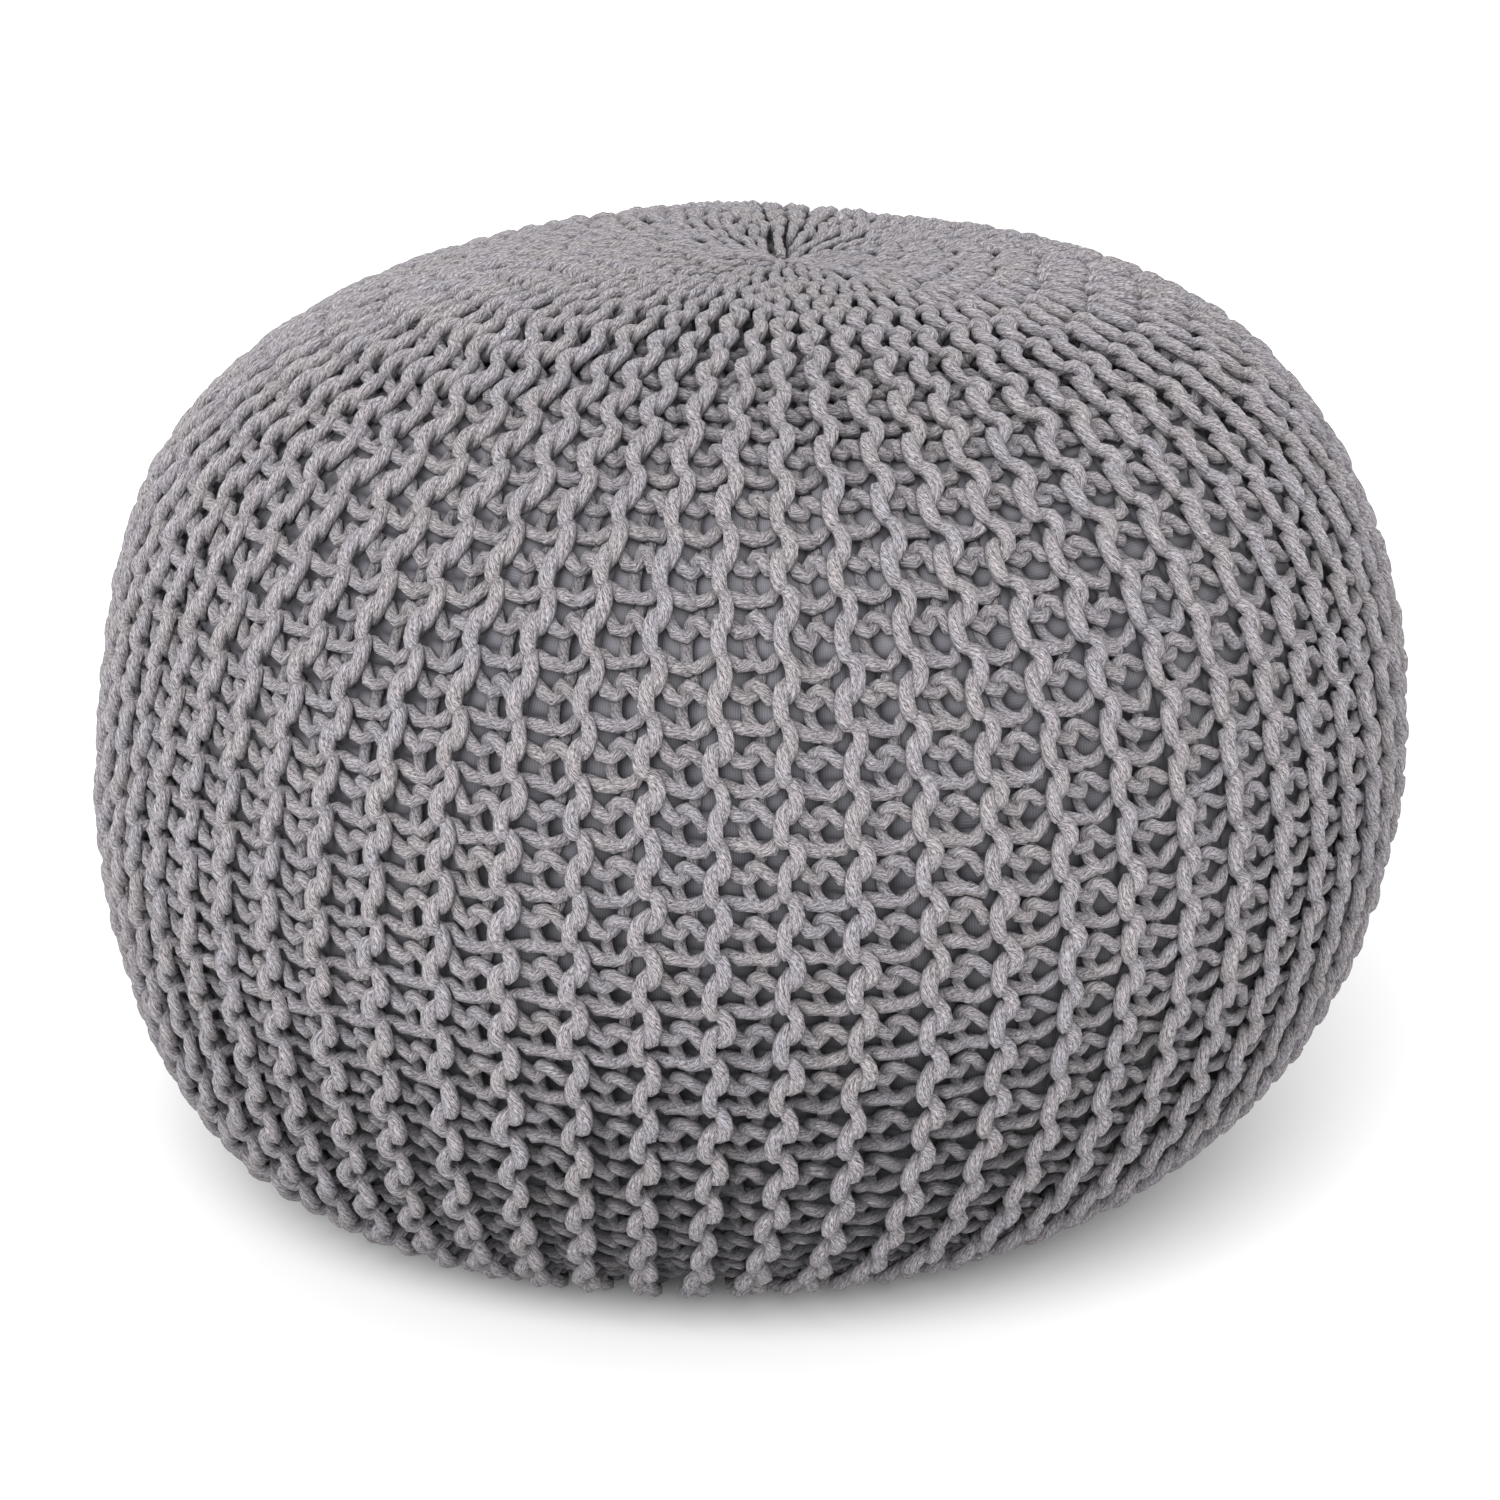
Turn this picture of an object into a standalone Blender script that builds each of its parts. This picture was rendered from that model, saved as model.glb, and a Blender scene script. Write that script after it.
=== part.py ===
"""Knitted floor pouf: a filled fabric inner cushion inside a knitted cover.

Metres, +Z up. The origin is on the floor, under the middle of the pouf's
bounding box. The front faces -Y.

Two sub-parts:
  inner_cushion  the sewn fabric cushion with its loose filling, one solid
  knit_cover     the knitted tube, gathered shut at the base and to a small
                 hole at the top, stretched over the cushion, one solid of
                 its outer form

Both have the sagged form of a filled pouf at rest: widest below half height,
a wide soft top that is drawn in a little at the gathered pole, and a flat
underside where the weight presses it on the floor. The axis leans and bows a
little to one side, and slow swells keep it from being perfectly round.
"""

import math

import bmesh
import bpy
import numpy as np
from mathutils import Vector

# ---------------------------------------------------------------- named sizes
RADIUS = 0.250            # half of the widest outside width
TOP_RISE = 0.2028         # widest level up to the shoulder's highest level
TOP_RIM_POWER = 3.14      # how late the top turns down towards the side
TOP_SIDE_POWER = 2.50     # how upright the side is above the widest level
BASE_DROP = 0.1545        # widest level down to where the base would end
BASE_RIM_POWER = 5.60     # how late the base turns up towards the side
BASE_SIDE_POWER = 1.64    # how upright the side is below the widest level
BASE_PRESS = 0.0200       # share of BASE_DROP that the floor presses flat
PRESS_BLEND = 0.0028      # how softly the pressed flat meets the round
POLE_DIMPLE = 0.0050      # depth of the hollow at the gathered pole
DIMPLE_REACH = 0.040      # its radius scale

COVER_THICK = 0.0120      # knitted layer, from the cushion to the ridge crests
PIECE_GAP = 0.0004        # clearance kept between cushion and cover
POLE_RING = 0.0070        # radius of the last full ring at each pole
EYELET = 0.0018           # radius of the small hole that the gathering leaves

# The middle line's sideways place, as a share of RADIUS, is a cubic in the
# height above the widest level (also as a share of RADIUS).
LEAN_TABLE = (
    # power, share
    (1, 0.0362),
    (2, -0.0690),
    (3, 0.1090),
)

# Slow swells in the radius: how many round the pouf, size, where they peak,
# and how much they turn from the base to the top.
SWELL_TABLE = (
    # count, size_m, peak_deg, turn_deg
    (2, 0.0011, 80.0, 20.0),
    (3, 0.0013, 15.0, -35.0),
    (5, 0.0009, 130.0, 50.0),
)

# Soft rises and hollows on the shoulder: direction, distance from the axis,
# height and reach.
SHOULDER_TABLE = (
    # toward_deg, out_m, rise_m, reach_m
    (100.0, 0.085, 0.0022, 0.050),
    (72.0, 0.080, -0.0022, 0.030),
    (200.0, 0.110, 0.0016, 0.060),
    (320.0, 0.120, -0.0014, 0.050),
)

AROUND = 44               # facets round the pouf
EYELET_SIDES = 11         # sides of the gathered hole, a divisor of AROUND
TOP_RINGS = 13            # rings from the top pole down to the widest level
BASE_RINGS = 12           # rings from the widest level to the flat underside


# ------------------------------------------------------------- shape functions
def soft_floor(z, level):
    """z, smoothly kept from going below level."""
    k = PRESS_BLEND
    t = (z - level) / k
    if t > 30.0:
        return z
    return level + k * math.log1p(math.exp(t))


def outline(r, upper):
    """Height of the outer form above the widest level, at radius r."""
    x = min(1.0, r / RADIUS)
    if upper:
        z = TOP_RISE * (1.0 - x ** TOP_RIM_POWER) ** (1.0 / TOP_SIDE_POWER)
        return z - POLE_DIMPLE * math.exp(-((r / DIMPLE_REACH) ** 2))
    z = -BASE_DROP * (1.0 - x ** BASE_RIM_POWER) ** (1.0 / BASE_SIDE_POWER)
    return soft_floor(z, -BASE_DROP * (1.0 - BASE_PRESS))


def middle_line(z):
    """Sideways place of the middle line at height z above the widest level."""
    h = z / RADIUS
    return RADIUS * sum(share * h ** power for power, share in LEAN_TABLE)


def profile():
    """(radius, height) pairs of the outer form, top pole ring to base ring."""
    pairs = []
    first = math.asin(POLE_RING / RADIUS)
    for i in range(TOP_RINGS):
        a = first + (math.pi / 2 - first) * i / (TOP_RINGS - 1)
        r = RADIUS * math.sin(a)
        pairs.append((r, outline(r, True)))
    for i in range(1, BASE_RINGS):
        a = math.pi / 2 + (first - math.pi / 2) * i / (BASE_RINGS - 1)
        r = RADIUS * math.sin(a)
        pairs.append((r, outline(r, False)))
    return pairs


def inward(pairs, depth):
    """The same profile, moved in by depth along its own normals."""
    moved = []
    for i, (r, z) in enumerate(pairs):
        r0, z0 = pairs[max(0, i - 1)]
        r1, z1 = pairs[min(len(pairs) - 1, i + 1)]
        tangent = Vector((r1 - r0, z1 - z0)).normalized()
        normal = Vector((-tangent.y, tangent.x))      # points out of the pouf
        moved.append((r - normal.x * depth, z - normal.y * depth))
    return moved


def swell(angle, z):
    """Extra radius at this direction and height."""
    up = (z + BASE_DROP) / (TOP_RISE + BASE_DROP)
    extra = 0.0
    for count, size, peak, turn in SWELL_TABLE:
        extra += size * math.cos(count * (angle - math.radians(peak + turn * up)))
    return extra


def shoulder(x, y):
    """Extra height of the top at this place."""
    extra = 0.0
    for toward, out, rise, reach in SHOULDER_TABLE:
        cx = out * math.cos(math.radians(toward))
        cy = out * math.sin(math.radians(toward))
        extra += rise * math.exp(-((x - cx) ** 2 + (y - cy) ** 2) / reach ** 2)
    return extra


def place(r, z, angle):
    """A point of the form, from its profile place and direction."""
    share = min(1.0, max(0.0, r / RADIUS))
    ring = r + swell(angle, z) * share ** 2 * min(1.0, max(0.0, (z + 0.97 * BASE_DROP) / 0.03))
    x = ring * math.cos(angle)
    y = ring * math.sin(angle)
    top = min(1.0, max(0.0, z / (0.6 * TOP_RISE)))
    return Vector((x + middle_line(z), y, z + shoulder(x, y) * top * top))


def ring_points(r, z, sides=AROUND):
    return [place(r, z, 2 * math.pi * k / sides) for k in range(sides)]


# --------------------------------------------------------------- mesh building
def skin(mesh, rings, flip=False):
    """Joins rings of vertices, one after another, with quads."""
    for upper, lower in zip(rings[:-1], rings[1:]):
        for k in range(AROUND):
            n = (k + 1) % AROUND
            face = [upper[k], lower[k], lower[n], upper[n]]
            mesh.faces.new(face[::-1] if flip else face)


def cap(mesh, ring, centre, flip=False):
    """Closes a ring with a fan."""
    hub = mesh.verts.new(centre)
    for k in range(AROUND):
        n = (k + 1) % AROUND
        face = [hub, ring[k], ring[n]]
        mesh.faces.new(face[::-1] if flip else face)


def draw_in(mesh, ring, small, flip=False):
    """Joins a full ring to a small one that has fewer points."""
    each = len(ring) // len(small)
    for k in range(len(small)):
        n = (k + 1) % len(small)
        run = [ring[(each * k + j) % len(ring)] for j in range(each + 1)]
        faces = [[small[k], a, b] for a, b in zip(run[:-1], run[1:])]
        faces.append([small[k], run[-1], small[n]])
        for face in faces:
            mesh.faces.new(face[::-1] if flip else face)


def finish(mesh, name, colour, roughness):
    bmesh.ops.recalc_face_normals(mesh, faces=mesh.faces)
    data = bpy.data.meshes.new(name)
    mesh.to_mesh(data)
    mesh.free()
    data.shade_smooth()
    data.set_sharp_from_angle(angle=math.radians(40))
    thing = bpy.data.objects.new(name, data)
    bpy.context.scene.collection.objects.link(thing)
    material = bpy.data.materials.new(name)
    material.use_nodes = True
    shader = material.node_tree.nodes["Principled BSDF"]
    shader.inputs["Base Color"].default_value = (*colour, 1.0)
    shader.inputs["Roughness"].default_value = roughness
    shader.inputs["Metallic"].default_value = 0.0
    data.materials.append(material)
    return thing


def add_rings(mesh, pairs, shift):
    return [[mesh.verts.new(p + shift) for p in ring_points(r, z)] for r, z in pairs]


def build():
    for thing in list(bpy.data.objects):
        bpy.data.objects.remove(thing, do_unlink=True)

    outer = profile()
    inner = inward(outer, COVER_THICK)
    cushion = inward(outer, COVER_THICK + PIECE_GAP)

    # The two faces of the cover keep the same last ring at each pole, and the
    # base is flat on the floor out to where it starts to rise.
    floor_level = outline(POLE_RING, False)

    def settle(pairs, level):
        """Levels the pressed base at its own height and keeps the pole rings."""
        out = []
        for i, (r, z) in enumerate(pairs):
            if i in (0, len(pairs) - 1):
                r = POLE_RING
            if z < level + 0.0004:
                z = level
            out.append((max(r, POLE_RING), z))
        return out

    outer = settle(outer, floor_level)
    inner = settle(inner, floor_level + COVER_THICK)
    cushion = settle(cushion, floor_level + COVER_THICK + PIECE_GAP)

    # Puts the floor at z = 0 and the box's middle over the origin.
    points = np.array([p[:] for r, z in outer for p in ring_points(r, z)])
    low, high = points.min(0), points.max(0)
    shift = Vector((-(low[0] + high[0]) / 2, -(low[1] + high[1]) / 2, -low[2]))

    def middle(ring):
        return sum((v.co for v in ring), Vector()) / len(ring)

    # Knitted cover: outer skin, inner skin and the gathered hole at the top.
    # The base is gathered shut.
    cover = bmesh.new()
    outside = add_rings(cover, outer, shift)
    inside = add_rings(cover, inner, shift)
    skin(cover, outside)
    skin(cover, inside, flip=True)
    hole = []
    for full, depth, flip in ((outside[0], 0.0, False), (inside[0], COVER_THICK, True)):
        level = outline(EYELET, True) - depth
        small = [cover.verts.new(p + shift) for p in ring_points(EYELET, level, EYELET_SIDES)]
        draw_in(cover, full, small, flip=not flip)
        hole.append(small)
    for k in range(EYELET_SIDES):
        n = (k + 1) % EYELET_SIDES
        cover.faces.new([hole[1][k], hole[0][k], hole[0][n], hole[1][n]])
    cap(cover, outside[-1], middle(outside[-1]), flip=True)
    cap(cover, inside[-1], middle(inside[-1]))
    finish(cover, "knit_cover", (0.30, 0.285, 0.30), 0.95)

    # Inner cushion: one filled solid.
    body = bmesh.new()
    rings = add_rings(body, cushion, shift)
    skin(body, rings)
    cap(body, rings[0], middle(rings[0]))
    cap(body, rings[-1], middle(rings[-1]), flip=True)
    finish(body, "inner_cushion", (0.26, 0.28, 0.30), 0.9)


build()
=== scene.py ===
"""Looks of the knitted floor pouf.

The cover is one chunky cord knitted in garter stitch. Its courses run from
the top pole to the base, so every course is modelled as the real strand: it
loops round the strands beside it, over and under, all the way down. Courses
are worked out from a table of one loop and short tables of sizes, laid on the
form of the part. Behind them is the sewn cushion.
"""

import math

import bpy
import numpy as np
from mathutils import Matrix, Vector


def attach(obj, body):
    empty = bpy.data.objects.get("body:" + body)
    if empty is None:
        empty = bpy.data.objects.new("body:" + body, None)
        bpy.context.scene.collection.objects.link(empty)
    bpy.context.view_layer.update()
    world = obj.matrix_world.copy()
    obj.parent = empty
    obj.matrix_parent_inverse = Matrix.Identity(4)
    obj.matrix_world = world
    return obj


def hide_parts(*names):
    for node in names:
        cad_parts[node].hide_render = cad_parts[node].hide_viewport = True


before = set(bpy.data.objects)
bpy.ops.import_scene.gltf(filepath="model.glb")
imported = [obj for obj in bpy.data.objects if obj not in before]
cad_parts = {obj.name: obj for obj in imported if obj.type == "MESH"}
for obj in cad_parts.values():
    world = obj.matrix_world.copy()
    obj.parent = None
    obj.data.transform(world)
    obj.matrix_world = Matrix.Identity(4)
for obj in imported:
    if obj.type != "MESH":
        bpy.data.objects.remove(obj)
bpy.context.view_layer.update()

# ------------------------------------------------- the form (metres, as built)
RADIUS = 0.250            # half of the widest outside width
TOP_RISE = 0.2028         # widest level up to the shoulder's highest level
TOP_RIM_POWER = 3.14
TOP_SIDE_POWER = 2.50
BASE_DROP = 0.1545        # widest level down to where the base would end
BASE_RIM_POWER = 5.60
BASE_SIDE_POWER = 1.64
BASE_PRESS = 0.0200
PRESS_BLEND = 0.0028
POLE_DIMPLE = 0.0050
DIMPLE_REACH = 0.040
COVER_THICK = 0.0120
PIECE_GAP = 0.0004
LEAN_TABLE = ((1, 0.0362), (2, -0.0690), (3, 0.1090))       # power, share
SWELL_TABLE = (
    # count, size_m, peak_deg, turn_deg
    (2, 0.0011, 80.0, 20.0),
    (3, 0.0013, 15.0, -35.0),
    (5, 0.0009, 130.0, 50.0),
)
SHOULDER_TABLE = (
    # toward_deg, out_m, rise_m, reach_m
    (100.0, 0.085, 0.0022, 0.050),
    (72.0, 0.080, -0.0022, 0.030),
    (200.0, 0.110, 0.0016, 0.060),
    (320.0, 0.120, -0.0014, 0.050),
    (64.0, 0.135, -0.0020, 0.055),
)

# ------------------------------------------------------------------- the knit
RIDGES = 64               # garter ridges round the pouf, two courses each
STITCHES = 35             # stitches from the top pole to the base pole
YARN = 0.00275            # radius of the cord where it is stretched
SIDES = 6                 # facets round the cord
SKEW = 0.06               # how far the twist of the cord skews each stitch
SAG = 0.085               # how far cross strands hang in the valleys, in stitches
SECTORS = 8               # pieces that the cover is split into
FIRST_DEG = -90.0         # direction of ridge 0
POLE_SHIFT = (0.0040, 0.0)  # the gathers meet a little off the axis
POLE_SHIFT_REACH = 0.070

PITCH_TABLE = (
    # from_pole (of RADIUS), stitch width (of RADIUS)
    (0.00, 0.078), (0.25, 0.066), (0.40, 0.076), (0.60, 0.091), (0.80, 0.098),
    (1.05, 0.094), (1.20, 0.080), (1.50, 0.078), (1.80, 0.080), (2.10, 0.086),
    (2.95, 0.086),
)
# How much the ridges crowd at the front and back, where the stretch of the
# cover isn't even.
CROWD_TABLE = (
    # share of the way down, crowd
    (0.00, 0.00), (0.06, -0.03), (0.10, -0.04), (0.15, -0.01), (0.21, 0.05), (0.27, 0.09),
    (0.33, 0.06), (0.40, 0.02), (0.50, -0.01), (1.00, -0.01),
)
# How the loops lie on the way down: how far ridge and valley loops sway from
# their lines, how deep the valleys are, how plump the cord is, how closed the
# loops are (0 stretched open, 1 slack, with the legs sunk between ridges), and
# how far the crests stand out.
LIE_TABLE = (
    # from_pole (of RADIUS), ridge_sway_mm, valley_sway_mm, depth_mm, plump,
    # closed, crest_mm
    (0.00, 0.2, 0.2, 5.0, 0.72, 1.0, 2.2),
    (0.06, 0.3, 0.3, 7.0, 0.66, 1.0, 1.7),
    (0.10, 0.5, 0.4, 8.4, 0.66, 1.0, 1.2),
    (0.15, 0.7, 0.6, 9.4, 0.69, 1.0, 0.7),
    (0.20, 1.0, 0.7, 9.8, 0.73, 1.0, 0.3),
    (0.26, 1.5, 1.0, 9.8, 0.80, 1.0, -0.1),
    (0.34, 2.2, 1.4, 9.6, 0.89, 0.9, -0.4),
    (0.42, 2.6, 1.7, 9.4, 0.95, 0.8, -0.6),
    (0.50, 2.7, 1.9, 9.0, 1.00, 0.6, -0.6),
    (0.62, 2.7, 2.1, 8.4, 1.02, 0.3, -0.4),
    (0.80, 2.4, 2.3, 7.6, 1.02, 0.0, 0.3),
    (1.00, 2.2, 2.5, 7.0, 1.00, 0.0, 1.1),
    (1.30, 2.2, 2.6, 6.8, 1.00, 0.0, 1.5),
    (1.60, 2.5, 2.6, 7.2, 1.00, 0.1, 1.9),
    (1.80, 3.0, 2.8, 8.2, 1.01, 0.3, 2.2),
    (2.15, 3.2, 2.6, 9.4, 1.02, 0.6, 1.9),
    (2.50, 2.0, 1.8, 6.6, 0.96, 0.5, 1.4),
    (2.90, 0.4, 0.4, 4.0, 0.96, 0.5, 1.2),
)
# Painted shade: how much darker the sunk strands and the cushion behind them are painted on the way
# down, where little light gets in between the ridges; how much of it all the strands have, which
# makes them darker towards the base; how far below the crests it is full; and how much painted shade
# is on the strands' sides.
PAINTED_SHADE_TABLE = (
    # from_pole (of RADIUS), painted_shade, all_over, full_at_mm, sides
    (0.00, 0.70, 0.00, 5.0, 0.30), (0.06, 0.90, 0.00, 4.6, 0.40),
    (0.12, 1.12, 0.00, 4.4, 0.52), (0.30, 1.08, 0.00, 4.8, 0.54),
    (0.50, 0.72, 0.00, 6.8, 0.36), (0.70, 0.48, 0.00, 8.5, 0.26),
    (0.90, 0.46, 0.00, 9.5, 0.20), (1.30, 0.48, 0.01, 9.5, 0.18),
    (1.45, 0.60, 0.04, 9.5, 0.18), (1.65, 0.88, 0.09, 9.0, 0.20),
    (1.85, 1.00, 0.18, 8.5, 0.22), (2.10, 1.00, 0.30, 8.5, 0.22),
    (2.90, 1.00, 0.40, 8.5, 0.20),
)
# Where the ridges have no room side by side, near the poles, some of them go
# under their neighbours: each second one, then each second of the rest.
UNDER_TABLE = (
    # every, offset, starts_m, under_by_m from the axis
    (2, 1, 0.046, 0.030),
    (4, 2, 0.021, 0.013),
    (8, 4, 0.0100, 0.0065),
)

# Half of one loop, from the middle of its foot to the middle of its head.
# along: share of a stitch from the loop's middle. line: 0 at the foot, 1 at
# the head. sway: share of that line's sway, towards the head. level and
# level_2: -1 at the foot's face of the layer and 1 at the head's, for courses
# with their feet on a ridge and for those with their heads on one. The next
# two columns say how much the point belongs to the crossing between loops and
# to the one in them, then comes the thickness. The next four are the sway and
# level of a closed loop, how far it sinks there, in mm, and its thickness. The
# twist of the cord leans the courses with their heads on a ridge: late and
# deep are how far their second leg's points move on, and sink, in mm. Where
# the cover turns from the top to the side their second leg rises, by knob, in
# mm. The first legs of all courses move on, by lean and by lean_2 for those
# with their heads on a ridge, and the second legs of the others move back by
# early, so that they don't run in line with the next ones across a ridge.
LOOP_TABLE = (
    # along, line, sway, level, level_2, between, within, thick,
    # sway_c, level_c, sink_c, thick_c, late, deep, knob, lean, lean_2, early
    (-0.500, 0.00, -1.00, -1.02, -1.00, 1.0, 0.0, 1.03,
     -1.00, -1.00, 0.0, 1.04, 0.00, 0.0, 0.0, 0.00, 0.00, 0.00),
    (-0.350, 0.00, -0.82, -1.00, -0.98, 1.0, 0.0, 0.99,
     -0.62, -1.00, 0.0, 0.98, 0.06, 0.6, 0.0, 0.00, 0.01, 0.01),
    (-0.245, 0.00, -0.20, -0.60, -0.62, 0.6, 0.4, 0.86,
     0.02, -0.74, 0.2, 0.86, 0.10, 1.2, 0.4, 0.03, 0.04, 0.05),
    (-0.165, 0.00, 0.95, 0.55, 0.05, 0.0, 1.0, 0.82,
     0.65, 0.00, 2.4, 0.84, 0.11, 1.2, 1.1, 0.05, 0.05, 0.09),
    (-0.225, 0.48, 0.00, 0.12, -0.12, 0.0, 0.0, 0.95,
     0.00, 0.00, 4.6, 0.90, 0.00, 0.0, 1.7, 0.03, 0.00, 0.02),
    (-0.325, 1.00, -0.95, -0.05, -0.55, 1.0, 0.0, 0.82,
     -0.65, -0.10, 2.6, 0.84, -0.11, 0.8, 1.9, 0.00, -0.07, 0.00),
    (-0.370, 1.00, 0.00, 0.10, 0.34, 0.5, 0.5, 0.84,
     -0.30, 0.52, 0.4, 0.84, -0.08, 0.0, 0.4, 0.01, -0.03, 0.00),
    (-0.275, 1.00, 0.76, 0.74, 0.90, 0.0, 1.0, 0.96,
     0.42, 0.92, 0.0, 0.96, -0.05, 0.0, 0.0, 0.01, 0.00, 0.00),
    (-0.140, 1.00, 1.02, 1.02, 1.04, 0.0, 1.0, 1.03,
     0.90, 1.02, 0.0, 1.04, -0.03, 0.0, 0.0, 0.00, 0.00, 0.00),
    (0.000, 1.00, 1.08, 1.06, 1.06, 0.0, 1.0, 1.04,
     1.08, 1.04, 0.0, 1.05, 0.00, 0.0, 0.0, 0.00, 0.00, 0.00),
)


# -------------------------------------------------------------- form functions
def outline(r, upper):
    x = np.clip(r / RADIUS, 0.0, 1.0)
    top = TOP_RISE * (1.0 - x ** TOP_RIM_POWER) ** (1.0 / TOP_SIDE_POWER)
    top = top - POLE_DIMPLE * np.exp(-((r / DIMPLE_REACH) ** 2))
    low = -BASE_DROP * (1.0 - x ** BASE_RIM_POWER) ** (1.0 / BASE_SIDE_POWER)
    floor = -BASE_DROP * (1.0 - BASE_PRESS)
    low = floor + PRESS_BLEND * np.logaddexp(0.0, (low - floor) / PRESS_BLEND)
    return np.where(upper, top, low)


def place(r, z, angle):
    """Points of the form, from their profile places and directions."""
    share = np.clip(r / RADIUS, 0.0, 1.0)
    up = (z + BASE_DROP) / (TOP_RISE + BASE_DROP)
    extra = sum(
        size * np.cos(count * (angle - np.radians(peak + turn * up)))
        for count, size, peak, turn in SWELL_TABLE
    )
    ring = r + extra * share ** 2 * np.clip((z + 0.97 * BASE_DROP) / 0.03, 0.0, 1.0)
    x = ring * np.cos(angle)
    y = ring * np.sin(angle)
    h = z / RADIUS
    lean = RADIUS * sum(s * h ** p for p, s in LEAN_TABLE)
    rise = sum(
        size * np.exp(-((x - out * math.cos(math.radians(d))) ** 2
                        + (y - out * math.sin(math.radians(d))) ** 2) / reach ** 2)
        for d, out, size, reach in SHOULDER_TABLE
    )
    top = np.clip(z / (0.6 * TOP_RISE), 0.0, 1.0)
    return np.stack([x + lean, y, z + rise * top * top], -1)


def form_curve():
    """The profile by arc length from the top pole: s, r, z and its normal."""
    a = np.linspace(0.0, np.pi, 8001)
    r = RADIUS * np.sin(a)
    z = outline(r, a <= np.pi / 2)
    s = np.concatenate([[0.0], np.cumsum(np.hypot(np.diff(r), np.diff(z)))])
    even = np.linspace(0.0, s[-1], 3001)
    r, z = np.interp(even, s, r), np.interp(even, s, z)
    soft = np.hanning(25)
    soft /= soft.sum()
    tangent = []
    for v in (r, z):
        t = np.gradient(v, even)
        t = np.convolve(np.pad(t, 12, mode="edge"), soft, mode="valid")
        tangent.append(t)
    tr, tz = tangent
    size = np.hypot(tr, tz)
    return even, r, z, -tz / size, tr / size


CURVE_S, CURVE_R, CURVE_Z, CURVE_NR, CURVE_NZ = form_curve()
LENGTH = CURVE_S[-1]


def curve_at(s):
    return [np.interp(s, CURVE_S, v) for v in (CURVE_R, CURVE_Z, CURVE_NR, CURVE_NZ)]


def lie_at(s):
    """Sway on ridges and in valleys and depth in metres, plumpness, how closed
    the loops are, and the crests' place in metres."""
    table = np.array(LIE_TABLE)
    a, b, c, d, e, f = [np.interp(s / RADIUS, table[:, 0], table[:, k]) for k in range(1, 7)]
    return a / 1000, b / 1000, c / 1000, d, e, f / 1000


# painted shade by the place on the way down, read from the table
def painted_shade_at(s):
    table = np.array(PAINTED_SHADE_TABLE)
    return [np.interp(s / RADIUS, table[:, 0], table[:, k]) for k in (1, 2, 3, 4)]


def find_shift():
    """Puts the floor at z = 0 and the box's middle over the origin."""
    s = np.linspace(0.0, LENGTH, 400)[:, None]
    r, z, _, _ = curve_at(s)
    turn = np.linspace(0.0, 2 * np.pi, 45)[None, :]
    p = place(r + 0 * turn, z + 0 * turn, turn + 0 * r).reshape(-1, 3)
    low, high = p.min(0), p.max(0)
    return np.array([-(low[0] + high[0]) / 2, -(low[1] + high[1]) / 2, -low[2]])


SHIFT = find_shift()


def surface(s, angle, out):
    """Points at arc length s and direction angle, out from the outer form."""
    r, z, nr, nz = curve_at(s)
    p = place(np.maximum(r + nr * out, 0.0004), z + nz * out, angle) + SHIFT
    near = np.exp(-((r / POLE_SHIFT_REACH) ** 2)) * (z > 0)
    p[..., 0] += POLE_SHIFT[0] * near
    p[..., 1] += POLE_SHIFT[1] * near
    n = np.stack([nr * np.cos(angle), nr * np.sin(angle), nz], -1)
    return p, n


def ramp(x, low, high):
    t = np.clip((x - low) / (high - low), 0.0, 1.0)
    return t * t * (3.0 - 2.0 * t)


def soft_noise(shape, spread, seed):
    """Even noise of unit size, smoothed over spread cells each way; it runs on
    round the first axis."""
    rng = np.random.RandomState(seed)
    wide = (shape[0], shape[1] * 2)
    v = rng.standard_normal(wide)
    f0 = np.fft.fftfreq(wide[0])[:, None]
    f1 = np.fft.fftfreq(wide[1])[None, :]
    keep = np.exp(-2 * np.pi ** 2 * ((f0 * spread[0]) ** 2 + (f1 * spread[1]) ** 2))
    v = np.real(np.fft.ifft2(np.fft.fft2(v) * keep))[:, : shape[1]]
    return v / v.std()


# ------------------------------------------------------------ courses of loops
def pitch_steps():
    """Arc length at each whole stitch, from the pitch table."""
    s = np.linspace(0.0, LENGTH, 3001)
    table = np.array(PITCH_TABLE)
    width = np.interp(s / RADIUS, table[:, 0], table[:, 1])
    t = np.concatenate([[0.0], np.cumsum((1.0 / width[1:] + 1.0 / width[:-1]) / 2 * np.diff(s))])
    return t * STITCHES / t[-1], s


STEP_T, STEP_S = pitch_steps()


def ridge_angle(line, share):
    """Direction of a line, counted in ridges, at a share of the way down."""
    base = math.radians(FIRST_DEG) - 2 * np.pi * line / RIDGES
    front = base + np.pi / 2
    drift = np.radians(4.5 + 3.7 * np.sin(front)) * (share - 0.5)
    table = np.array(CROWD_TABLE)
    crowd = np.interp(share, table[:, 0], table[:, 1])
    return base + 0.035 * np.sin(base) + drift - crowd / 2 * np.sin(2 * front)


def full_loop():
    """The loop table's rows, then the same mirrored: one stitch of a course."""
    half = np.array(LOOP_TABLE)
    other = half[1:-1][::-1].copy()
    other[:, 0] *= -1
    rows = np.concatenate([half, other])
    after = np.concatenate([np.zeros(len(half)), np.ones(len(other))])
    return rows, after


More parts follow.
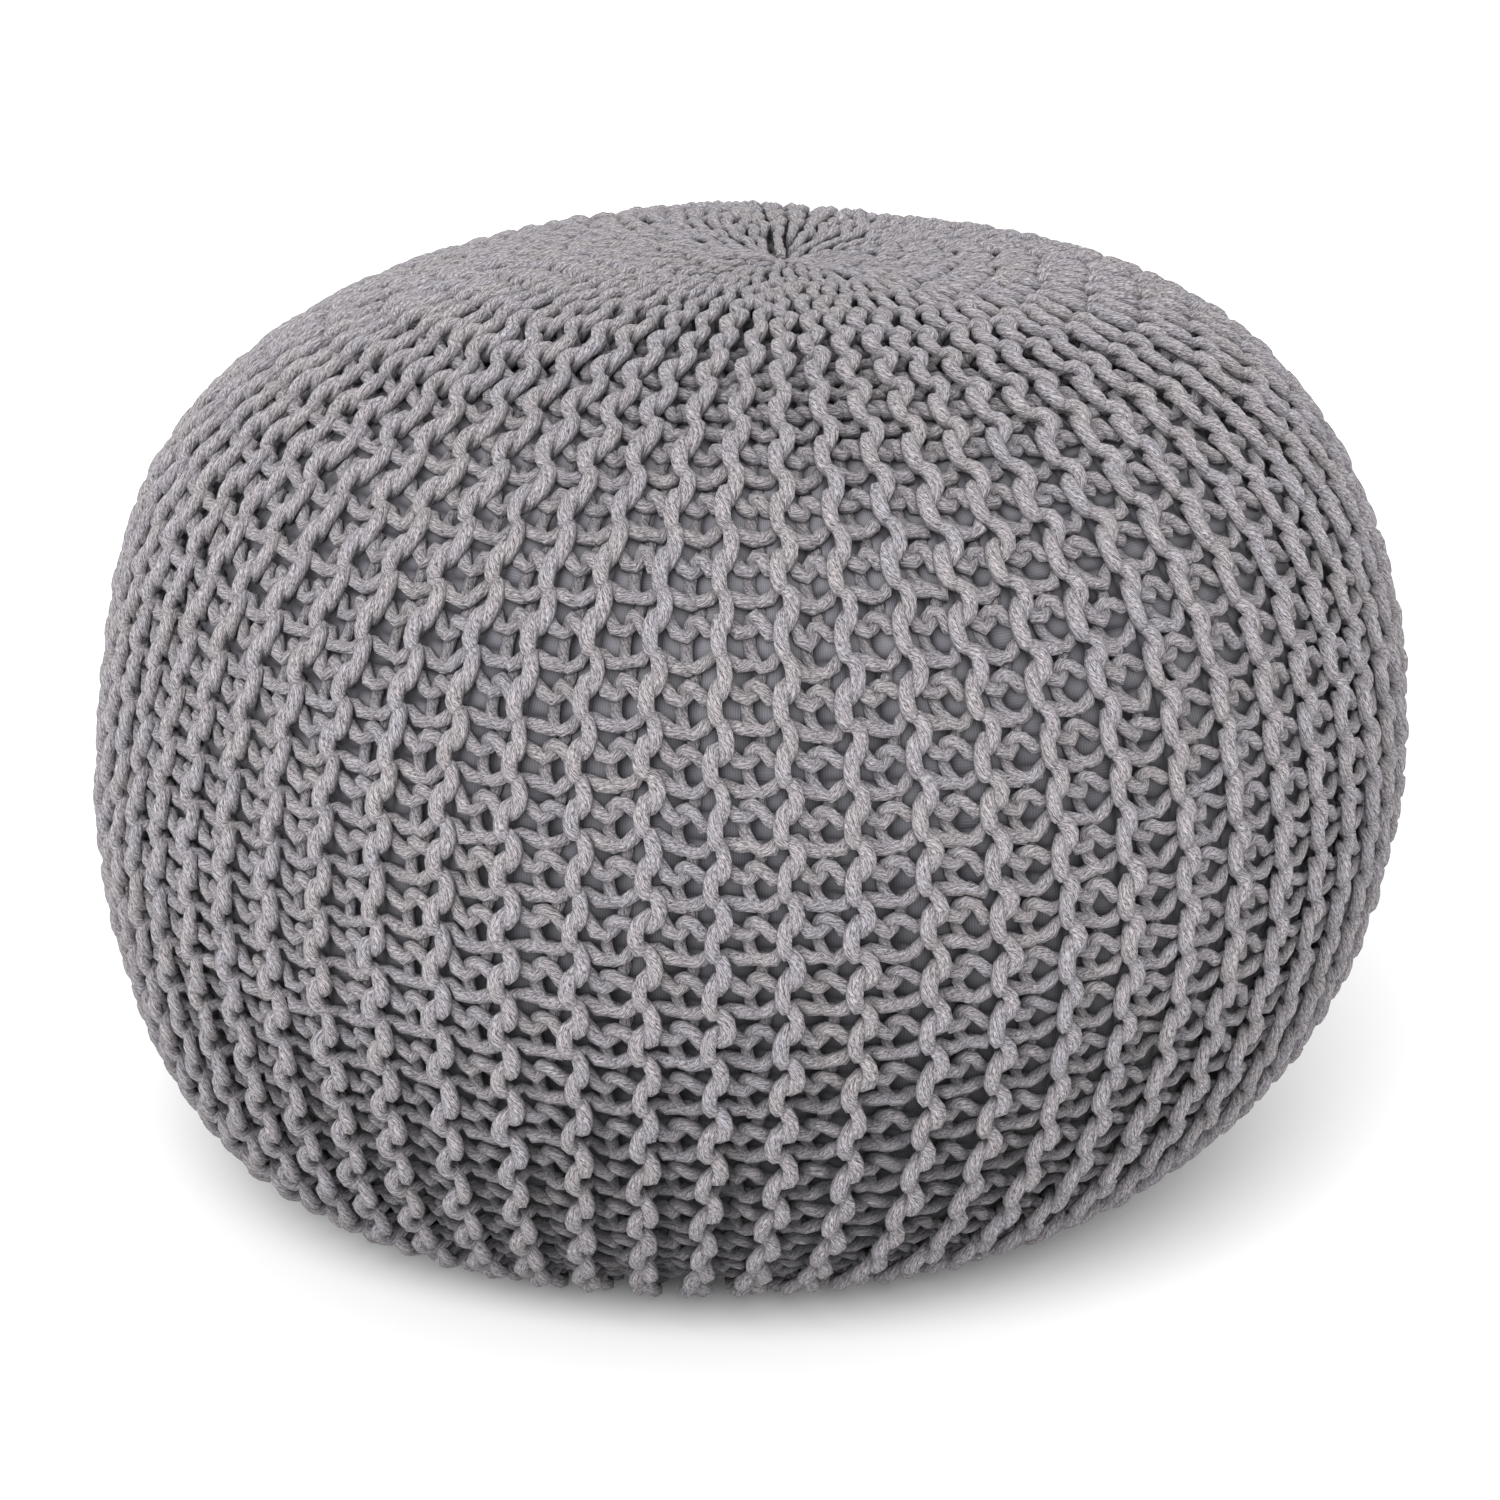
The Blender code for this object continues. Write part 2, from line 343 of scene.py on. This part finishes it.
def courses():
    """Middle lines of all courses, with the layer's normal at each point."""
    loop, after = full_loop()
    count = 2 * RIDGES
    q = np.arange(count)[:, None, None]
    j = np.arange(STITCHES)[None, :, None]
    (along, line, sway, level, level_2, between, within, thick, sway_c, level_c,
     sink_c, thick_c, late, deep, knob, lean, lean_2, early) = [
         c[None, None, :] for c in loop.T]
    side = np.where(q % 2 == 1, 1.0, -1.0)
    level = np.where(q % 2 == 1, level_2, level)
    knob = np.where(q % 2 == 1, knob, 0.0) * after
    lean = np.where(q % 2 == 1, lean_2, lean) * (1 - after)

    # Unevenness belongs to the crossings, so strands that touch move together.
    def crossing(seed, size):
        rng = np.random.RandomState(seed)
        return rng.standard_normal((count, STITCHES + 2)) * size

    head = (np.round(line) > 0.5).astype(int)
    head = np.where(line == 0.48, 0, head)
    which_line = (q + head) % count
    which_next = (j + after[None, None, :]).astype(int)

    def at(seed, size):
        a, b = crossing(seed, size), crossing(seed + 50, size)
        return a[which_line, which_next] * between + b[which_line, j + 0 * which_next] * within

    low = count, STITCHES + 2
    high_up = 1 - ramp(np.interp(np.arange(low[1]) + 0.5, STEP_T, STEP_S), 0.08, 0.15)
    slow_u = soft_noise(low, (5.0, 3.0), 11) * 0.09
    slow_u = slow_u + soft_noise(low, (0.6, 3.0), 15) * (0.06 + 0.13 * high_up)
    slow_v = soft_noise(low, (3.0, 2.0), 12) * 0.0009
    lift = soft_noise(low, (7.0, 1.6), 13) * 0.0007
    open_up = 1 + soft_noise(low, (2.5, 1.5), 14) * 0.14
    here = which_line, j + 0 * which_next
    leg = np.where(line == 0.48, 1.0, 0.0)
    rng = np.random.RandomState(77)
    leg_u = rng.standard_normal((count, STITCHES, 1)) * 0.048
    leg_w = rng.standard_normal((count, STITCHES, 1)) * 0.0009

    # legs hang down a little between the lines that hold them
    hang = 0.075 * leg + 0.030 * (np.abs(level) < 0.3)
    t = j + 0.5 + along + at(21, 0.034) + slow_u[here] + leg * leg_u + hang
    late, deep = late * after * (q % 2), deep * after * (q % 2)
    t = t - SKEW * (line - 0.5) + late
    full = np.interp(t, STEP_T, STEP_S)
    t = t + lean * ramp(full, 0.09, 0.15) * (1 - ramp(full, 0.38, 0.48))
    t = t - early * after * (1 - q % 2) * ramp(full, 0.09, 0.15)
    # the cross strands hang down in the valleys where the cover is wide
    sag = np.where(q % 2 == 1, 1 - line, line) * (np.abs(along) < 0.34)
    sag = sag * (np.where(q % 2 == 1, np.abs(along) < 0.2, np.abs(along) > 0.3) | (leg > 0))
    t = t + SAG * sag * after * ramp(full, 0.11, 0.17) * (1 - ramp(full, 0.32, 0.40))
    full = ramp(full, 0.09, 0.15) * (1 - ramp(full, 0.22, 0.32))
    t = np.clip(t + 0 * q, 0.02, STITCHES - 0.02)
    s = np.interp(t, STEP_T, STEP_S)
    r = np.interp(s, CURVE_S, CURVE_R)
    gap = 2 * np.pi * np.maximum(r, 0.004) / RIDGES
    ridge_sway, valley_sway, depth, plump, closed, crest = lie_at(s)
    sway = sway + (sway_c - sway) * closed
    level = level + (level_c - level) * closed
    sway = sway - 9.0 * np.maximum(late, 0.0) * (1 - 0.6 * closed)
    thick = thick + (thick_c - thick) * closed
    size = np.where(which_line % 2 == 0, ridge_sway, valley_sway) * open_up[here]
    across = sway * size + at(22, 0.00055) + slow_v[here]
    place_line = (q + line) / 2 + across / gap
    angle = ridge_angle(place_line, s / LENGTH)

    ridge = (q + 1) // 2 % RIDGES
    rng = np.random.RandomState(31)
    shy = rng.uniform(-0.12, 0.12, (RIDGES,))[ridge]
    under = 0.0
    for every, offset, starts, is_under in UNDER_TABLE:
        goes = 1 - ramp(r * (1 + shy), is_under, starts)
        under = under + np.where(ridge % every == offset, goes, 0.0)
    thick = YARN * plump * thick
    # the strands are drawn thin where they lie deep
    thick = thick * (1 - 0.23 * (1 - closed) * np.clip(-side * level, 0, 1) ** 1.5)
    crest = crest - 1.04 * YARN * plump
    out = crest - depth / 2 * (1.06 - side * level)
    out = out - sink_c / 1000 * closed * ramp(r, 0.03, 0.07) * (1 - 0.3 * full)
    out = out - deep / 1000
    out = out + knob / 1000 * full
    out = out + at(23, 0.00030) + leg * leg_w + lift[here] - under * 0.0100
    out = out - (1 - ramp(r, 0.0012, 0.004)) * 0.003

    n = count, STITCHES * len(loop)
    p, normal = surface(s.reshape(n), angle.reshape(n), out.reshape(n))
    below = out - crest
    return p, normal, thick.reshape(n), s.reshape(n), below.reshape(n)


def new_object(name, data, material):
    data.materials.append(material)
    thing = bpy.data.objects.new(name, data)
    bpy.context.scene.collection.objects.link(thing)
    return thing


def tubes(name, p, normal, radius, below, s, flatten, material, sides=SIDES):
    """One mesh of closed tubes along the rows of p."""
    rows, n = p.shape[:2]
    tangent = np.gradient(p, axis=1)
    tangent /= np.linalg.norm(tangent, axis=-1, keepdims=True)
    side = np.cross(tangent, normal)
    side /= np.linalg.norm(side, axis=-1, keepdims=True)
    front = np.cross(side, tangent)
    length = np.concatenate(
        [np.zeros((rows, 1)), np.cumsum(np.linalg.norm(np.diff(p, axis=1), axis=-1), axis=1)], 1)
    turn = 2 * np.pi * np.arange(sides) / sides
    rad = radius[:, :, None, None]
    v = (p[:, :, None] + rad * flatten * np.cos(turn)[:, None] * front[:, :, None]
         + rad / flatten * np.sin(turn)[:, None] * side[:, :, None])
    v[..., 2] = np.maximum(v[..., 2], 0.0002)
    k = np.arange(sides)
    i = np.arange(n - 1)[:, None]
    one = np.stack([i * sides + k, i * sides + (k + 1) % sides,
                    (i + 1) * sides + (k + 1) % sides, (i + 1) * sides + k], -1).reshape(-1, 4)
    quads = (one[None] + (np.arange(rows) * n * sides)[:, None, None]).reshape(-1, 4)
    first = (np.arange(rows) * n * sides)[:, None]
    caps = np.concatenate([first + k[::-1], first + (n - 1) * sides + k])
    data = bpy.data.meshes.new(name)
    data.vertices.add(v.size // 3)
    data.vertices.foreach_set("co", v.astype(np.float32).ravel())
    loops = np.concatenate([quads.ravel(), caps.ravel()])
    starts = np.concatenate([np.arange(len(quads)) * 4, quads.size + np.arange(len(caps)) * sides])
    data.loops.add(len(loops))
    data.loops.foreach_set("vertex_index", loops.astype(np.int32))
    data.polygons.add(len(starts))
    data.polygons.foreach_set("loop_start", starts.astype(np.int32))
    uv = np.zeros((len(loops), 2), np.float32)
    begins = np.random.RandomState(91).uniform(0, 50, (rows, 1, 1))
    u = begins + (length / 0.010)[:, :, None] + np.zeros(sides)
    ends = np.stack([u[:, :-1], u[:, :-1], u[:, 1:], u[:, 1:]], -1).reshape(-1)
    ring = np.stack([k, k + 1, k + 1, k], -1) / sides
    uv[: quads.size, 0] = ends
    uv[: quads.size, 1] = np.tile(ring.ravel(), rows * (n - 1))
    layer = data.uv_layers.new(name="cord")
    layer.data.foreach_set("uv", uv.ravel())
    # how much painted shade each point gets: more the deeper it lies below the ridges' crests, some
    # all over towards the base, and more on the strands' lower sides
    facing = np.sum(front * normal, -1)[:, :, None]
    sunk = -(below[:, :, None] + radius[:, :, None] * np.cos(turn) * facing)
    painted_shade, all_over, full_at, sides_too = [v[:, :, None] for v in painted_shade_at(s)]
    dark = all_over + painted_shade * ramp(sunk, 0.0, full_at / 1000)
    dark = np.clip(dark + sides_too * ramp(-np.cos(turn) * facing, -0.65, 0.10), 0.0, 1.0)
    data.attributes.new("painted_shade", "FLOAT", "POINT").data.foreach_set(
        "value", dark.astype(np.float32).ravel())
    data.update()
    data.validate()
    data.shade_smooth()
    return new_object(name, data, material)


# ------------------------------------------------------------------ materials
class Nodes:
    """A small helper for node trees."""

    def __init__(self, name):
        self.material = bpy.data.materials.new(name)
        self.material.use_nodes = True
        self.tree = self.material.node_tree
        self.shader = self.tree.nodes["Principled BSDF"]

    def node(self, kind, **inputs):
        made = self.tree.nodes.new(kind)
        for key, value in inputs.items():
            if hasattr(value, "is_output"):
                self.tree.links.new(value, made.inputs[key])
            else:
                made.inputs[key].default_value = value
        return made

    def link(self, a, b):
        self.tree.links.new(a, b)

    def math(self, kind, a, b=None, c=None):
        made = self.tree.nodes.new("ShaderNodeMath")
        made.operation = kind
        for slot, value in enumerate((a, b, c)):
            if value is None:
                continue
            if hasattr(value, "is_output"):
                self.tree.links.new(value, made.inputs[slot])
            else:
                made.inputs[slot].default_value = value
        return made.outputs[0]

    def combine(self, x, y, z):
        made = self.tree.nodes.new("ShaderNodeCombineXYZ")
        for slot, value in enumerate((x, y, z)):
            if hasattr(value, "is_output"):
                self.tree.links.new(value, made.inputs[slot])
            else:
                made.inputs[slot].default_value = value
        return made.outputs[0]

    def noise(self, vector, scale, detail=2.0, rough=0.5):
        made = self.tree.nodes.new("ShaderNodeTexNoise")
        self.tree.links.new(vector, made.inputs["Vector"])
        made.inputs["Scale"].default_value = scale
        made.inputs["Detail"].default_value = detail
        made.inputs["Roughness"].default_value = rough
        return made

    def ramp(self, fac, stops):
        made = self.tree.nodes.new("ShaderNodeValToRGB")
        self.tree.links.new(fac, made.inputs["Fac"])
        bar = made.color_ramp
        while len(bar.elements) < len(stops):
            bar.elements.new(0.5)
        for element, (at, colour) in zip(bar.elements, stops):
            element.position = at
            element.color = (*colour, 1.0) if len(colour) == 3 else colour
        return made.outputs["Color"]

    def mix(self, fac, a, b, blend="MIX"):
        made = self.tree.nodes.new("ShaderNodeMix")
        made.data_type = "RGBA"
        made.blend_type = blend
        for slot, value in ((0, fac), (6, a), (7, b)):
            if hasattr(value, "is_output"):
                self.tree.links.new(value, made.inputs[slot])
            else:
                if slot and len(value) == 3:
                    value = (*value, 1.0)
                made.inputs[slot].default_value = value
        return made.outputs[2]


def cord_material():
    """Soft cotton cord of many fine strands, twisted to the left."""
    m = Nodes("cover_yarn")
    uv = m.tree.nodes.new("ShaderNodeUVMap")
    uv.uv_map = "cord"
    split = m.node("ShaderNodeSeparateXYZ", Vector=uv.outputs["UV"])
    u, v = split.outputs[0], split.outputs[1]
    where = m.tree.nodes.new("ShaderNodeTexCoord").outputs["Object"]
    wander = m.noise(where, 120.0, 1.0).outputs["Fac"]
    turn = m.math("ADD", m.math("MULTIPLY", v, 2 * math.pi), m.math("MULTIPLY", u, 2.1))
    turn = m.math("MULTIPLY_ADD", wander, 0.9, turn)
    cos, sin = m.math("COSINE", turn), m.math("SINE", turn)

    def strands(across, stretch, detail):
        return m.noise(m.combine(m.math("MULTIPLY", cos, across), m.math("MULTIPLY", sin, across),
                                 m.math("MULTIPLY", u, stretch)), 1.0, detail, 0.62).outputs["Fac"]

    fine = strands(8.0, 8.5, 3.0)         # single strands, long along the twist
    coarse = strands(2.4, 2.6, 1.0)       # thicker and thinner places
    ply = m.math("SINE", m.math("MULTIPLY", turn, 7.0))
    ply = m.math("MULTIPLY_ADD", ply, 0.5, 0.5)
    height = m.math("ADD", m.math("MULTIPLY", fine, 0.8), m.math("MULTIPLY", ply, 0.30))
    height = m.math("MULTIPLY_ADD", coarse, 0.9, height)
    bump = m.node("ShaderNodeBump", Strength=0.8, Distance=0.0012, Height=height)
    m.link(bump.outputs["Normal"], m.shader.inputs["Normal"])
    tone = m.ramp(fine, ((0.38, (0.060, 0.054, 0.058)), (0.45, (0.168, 0.155, 0.165)),
                         (0.53, (0.298, 0.279, 0.295)), (0.66, (0.430, 0.408, 0.426))))
    # painted shade in the furrows between the plies
    furrow_shade = m.ramp(ply, ((0.0, (0.70, 0.70, 0.70)), (0.45, (1, 1, 1))))
    tone = m.mix(1.0, tone, furrow_shade, "MULTIPLY")
    warm = m.noise(where, 55.0, 2.0).outputs["Fac"]
    warm = m.ramp(warm, ((0.35, (0.95, 0.955, 1.0)), (0.65, (1.0, 0.985, 0.955))))
    tone = m.mix(0.8, tone, warm, "MULTIPLY")
    # painted shade: strands deep between the ridges, and their lower sides, are painted darker than
    # the crests
    painted_shade = m.tree.nodes.new("ShaderNodeAttribute")
    painted_shade.attribute_name = "painted_shade"
    painted_shade_tone = m.ramp(painted_shade.outputs["Fac"], ((0.0, (1, 1, 1)), (0.45, (0.60, 0.60, 0.61)),
                                       (1.0, (0.13, 0.13, 0.14))))
    tone = m.mix(1.0, tone, painted_shade_tone, "MULTIPLY")
    m.link(tone, m.shader.inputs["Base Color"])
    m.shader.inputs["Roughness"].default_value = 0.92
    m.shader.inputs["Specular IOR Level"].default_value = 0.25
    m.shader.inputs["Sheen Weight"].default_value = 0.1
    m.shader.inputs["Sheen Roughness"].default_value = 0.5
    return m.material


def cushion_material():
    """Thin ribbed fabric, a little bluer than the cord. It is pressed in along the strands that lie
    on it and puffed out between them, and painted shade darkens it along those strands."""
    m = Nodes("cushion_fabric")
    uv = m.tree.nodes.new("ShaderNodeUVMap")
    uv.uv_map = "cloth"
    split = m.node("ShaderNodeSeparateXYZ", Vector=uv.outputs["UV"])
    u, v = split.outputs[0], split.outputs[1]
    ribs = m.math("SINE", m.math("MULTIPLY", u, 2 * math.pi / 0.95))
    rows = m.math("SINE", m.math("MULTIPLY", v, 2 * math.pi / 1.15))
    where = m.tree.nodes.new("ShaderNodeTexCoord").outputs["Object"]
    patch = m.noise(where, 34.0, 2.0).outputs["Fac"]
    patch = m.ramp(patch, ((0.50, (0, 0, 0)), (0.66, (1, 1, 1))))
    weave = m.mix(patch, ribs, rows)
    weave = m.math("MULTIPLY_ADD", weave, 0.5, 0.5)

    over = m.tree.nodes.new("ShaderNodeUVMap")
    over.uv_map = "knit"
    split = m.node("ShaderNodeSeparateXYZ", Vector=over.outputs["UV"])
    line, stitch = split.outputs[0], split.outputs[1]
    wander = m.noise(where, 60.0, 1.0).outputs["Fac"]
    stitch = m.math("MULTIPLY_ADD", wander, 0.16, m.math("ADD", stitch, -0.05))
    across = m.math("ABSOLUTE", m.math("SINE", m.math("MULTIPLY", line, 2 * math.pi)))
    down = m.math("ABSOLUTE", m.math("COSINE", m.math("MULTIPLY", stitch, 2 * math.pi)))
    open_here = m.math("MULTIPLY", across, down)
    puff = m.ramp(open_here, ((0.0, (0, 0, 0)), (0.85, (1, 1, 1))))

    height = m.math("MULTIPLY_ADD", puff, 4.0, m.math("MULTIPLY", weave, 0.35))
    bump = m.node("ShaderNodeBump", Strength=0.55, Distance=0.0006, Height=height)
    m.link(bump.outputs["Normal"], m.shader.inputs["Normal"])
    tone = m.ramp(weave, ((0.0, (0.156, 0.153, 0.168)), (1.0, (0.214, 0.210, 0.230))))
    # painted shade: darker along the strands that lie on the cushion, lightest in the open middles
    # between them
    shade = m.ramp(open_here, ((0.05, (0.26, 0.25, 0.27)), (0.50, (0.74, 0.73, 0.76)),
                               (0.95, (1, 1, 1))))
    tone = m.mix(1.0, tone, shade, "MULTIPLY")
    # painted shade: the cushion is painted darker where the loops above it are closed and little
    # light gets in
    painted_shade = m.tree.nodes.new("ShaderNodeAttribute")
    painted_shade.attribute_name = "painted_shade"
    painted_shade = m.ramp(painted_shade.outputs["Fac"], ((0.0, (1, 1, 1)), (0.40, (0.70, 0.70, 0.70)),
                                        (1.0, (0.20, 0.20, 0.21))))
    tone = m.mix(1.0, tone, painted_shade, "MULTIPLY")
    m.link(tone, m.shader.inputs["Base Color"])
    m.shader.inputs["Roughness"].default_value = 0.75
    m.shader.inputs["Specular IOR Level"].default_value = 0.3
    m.shader.inputs["Sheen Weight"].default_value = 0.1
    return m.material


def plain_material(name, colour, roughness):
    m = Nodes(name)
    m.shader.inputs["Base Color"].default_value = (*colour, 1.0)
    m.shader.inputs["Roughness"].default_value = roughness
    return m.material


# --------------------------------------------------------------------- pieces
def build_cover(material):
    p, normal, thick, s, below = courses()
    # a light smoothing along each course rounds the strand's turns
    p[:, 1:-1] = 0.14 * p[:, :-2] + 0.72 * p[:, 1:-1] + 0.14 * p[:, 2:]
    radius = thick * (1 + 0.045 * soft_noise(thick.shape, (0.1, 4.0), 41))
    pieces = []
    per = 2 * RIDGES // SECTORS
    keep = np.ones(p.shape[1], bool)
    under = s.mean(0) > 2.22 * RADIUS
    keep[under & (np.arange(p.shape[1]) % 2 == 1)] = False
    for k in range(SECTORS):
        rows = slice(k * per, (k + 1) * per)
        piece = tubes(f"knit_sector_{k + 1}", p[rows][:, keep], normal[rows][:, keep],
                      radius[rows][:, keep], below[rows][:, keep], s[rows][:, keep],
                      0.96, material)
        pieces.append(piece)
    return pieces


def build_cushion(material):
    """The cushion: pressed in under the deep loops of the valleys and puffed
    out between them, under the ridges."""
    each, down = 5, 100
    around = RIDGES * each
    s = np.linspace(0.0, LENGTH, down + 1)[:, None]
    line = (np.arange(around) / each)[None, :]
    turn = ridge_angle(line, s / LENGTH)
    puff = soft_noise((around, down + 1), (6.0, 2.5), 61).T * 0.0005
    r = np.interp(s, CURVE_S, CURVE_R)
    room = ramp(r, 0.06, 0.17)
    wave = (0.5 + 0.5 * np.cos(2 * np.pi * line)) * 0.0030 * room
    closed = lie_at(s)[4]
    out = -COVER_THICK - PIECE_GAP - 0.0015 * (1 - room) + 0.0006 * room + puff + wave
    out = out - 0.0030 * closed
    p, _ = surface(s + 0 * line, turn, out)
    data = bpy.data.meshes.new("cushion")
    rings = p[1:-1].reshape(-1, 3)
    ends = np.stack([p[0].mean(0), p[-1].mean(0)])
    data.vertices.add(len(rings) + 2)
    data.vertices.foreach_set("co", np.concatenate([rings, ends]).astype(np.float32).ravel())
    n = down - 1
    faces, uvs = [], []
    top, base = len(rings), len(rings) + 1
    for i in range(n - 1):
        for k in range(around):
            m = (k + 1) % around
            faces.append((i * around + k, i * around + m, (i + 1) * around + m, (i + 1) * around + k))
            for ii, kk in ((i, k), (i, k + 1), (i + 1, k + 1), (i + 1, k)):
                uvs.append((-kk / around * 2 * math.pi * 240.0, s[ii + 1, 0] * 1000.0))
    for k in range(around):
        m = (k + 1) % around
        faces.append((top, m, k))
        uvs += [(k, 0.0), (k + 1, s[1, 0] * 1000.0), (k, s[1, 0] * 1000.0)]
        faces.append((base, (n - 1) * around + k, (n - 1) * around + m))
        uvs += [(k, LENGTH * 1000.0), (k, s[-2, 0] * 1000.0), (k + 1, s[-2, 0] * 1000.0)]
    sizes = np.array([len(f) for f in faces])
    loops = np.concatenate([np.array(f) for f in faces])
    data.loops.add(len(loops))
    data.loops.foreach_set("vertex_index", loops.astype(np.int32))
    data.polygons.add(len(faces))
    data.polygons.foreach_set("loop_start", (np.cumsum(sizes) - sizes).astype(np.int32))
    layer = data.uv_layers.new(name="cloth")
    layer.data.foreach_set("uv", np.array(uvs, np.float32).ravel())
    # which ridge and stitch lies above each point
    uvs = np.array(uvs)
    over = np.stack([uvs[:, 0] / (-2 * math.pi * 240.0) * RIDGES,
                     np.interp(uvs[:, 1] / 1000.0, STEP_S, STEP_T)], -1)
    layer = data.uv_layers.new(name="knit")
    layer.data.foreach_set("uv", over.astype(np.float32).ravel())
    data.uv_layers.active = data.uv_layers["cloth"]
    # painted shade for the cushion, by its place on the way down
    painted_shade = painted_shade_at(s[:, 0])[0]
    painted_shade = np.concatenate([np.repeat(painted_shade[1:-1], around), painted_shade[[0, -1]]])
    data.attributes.new("painted_shade", "FLOAT", "POINT").data.foreach_set(
        "value", painted_shade.astype(np.float32))
    data.update()
    data.validate()
    data.shade_smooth()
    return new_object("cushion", data, material)


def build_stage():
    data = bpy.data.meshes.new("floor")
    a = 6.0
    data.from_pydata([(-a, -a, 0), (a, -a, 0), (a, a, 0), (-a, a, 0)], [], [(0, 1, 2, 3)])
    floor = new_object("floor", data, plain_material("floor", (0.74, 0.74, 0.74), 0.8))
    world = bpy.data.worlds.new("studio")
    bpy.context.scene.world = world
    world.use_nodes = True
    tree = world.node_tree
    back = tree.nodes["Background"]
    toward = tree.nodes.new("ShaderNodeTexCoord").outputs["Generated"]
    split = tree.nodes.new("ShaderNodeSeparateXYZ")
    tree.links.new(toward, split.inputs[0])
    sky = tree.nodes.new("ShaderNodeValToRGB")
    tree.links.new(split.outputs[2], sky.inputs["Fac"])
    for element, (at, tone) in zip(sky.color_ramp.elements, ((0.20, 1.0), (0.75, 0.50))):
        element.position = at
        element.color = (tone, tone, tone, 1.0)
    tree.links.new(sky.outputs["Color"], back.inputs["Color"])
    back.inputs["Strength"].default_value = 1.08


def add_light(name, toward, soft_deg, strength):
    """A wide soft light from far away, in the direction toward."""
    light = bpy.data.lights.new(name, "SUN")
    light.angle = math.radians(soft_deg)
    light.energy = strength
    thing = bpy.data.objects.new(name, light)
    thing.location = Vector(toward) * 3.0
    thing.rotation_euler = Vector(toward).to_track_quat("Z", "Y").to_euler()
    bpy.context.scene.collection.objects.link(thing)


def add_camera():
    """At the photograph's angle: 18.5 degrees above the widest level."""
    rise = math.radians(18.5)
    away = 6.8 * RADIUS
    middle = Vector((SHIFT[0], SHIFT[1], SHIFT[2]))
    back = Vector((0.0, -math.cos(rise), math.sin(rise)))
    right = Vector((1.0, 0.0, 0.0))
    up = right.cross(-back)
    middle = middle + right * 0.0024 + up * 0.0050
    camera = bpy.data.cameras.new("camera")
    camera.sensor_width = 36.0
    camera.lens = 105.4
    camera.clip_start = 0.05
    thing = bpy.data.objects.new("camera", camera)
    thing.location = middle + back * away
    thing.rotation_euler = (-back).to_track_quat("-Z", "Y").to_euler()
    bpy.context.scene.collection.objects.link(thing)
    bpy.context.scene.camera = thing


add_camera()
build_stage()
add_light("key", (-0.20, -0.82, 0.55), 60.0, 5.4)
add_light("behind", (-0.32, 0.64, 0.78), 100.0, 0.45)
add_light("back", (0.25, 0.95, 0.22), 90.0, 1.5)
add_light("right", (0.90, 0.16, 0.38), 100.0, 0.7)
bpy.context.scene.view_settings.view_transform = "Standard"

cord = cord_material()
for piece in build_cover(cord):
    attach(piece, "root")
    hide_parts("knit_cover")

cushion = build_cushion(cushion_material())
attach(cushion, "root")
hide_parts("inner_cushion")
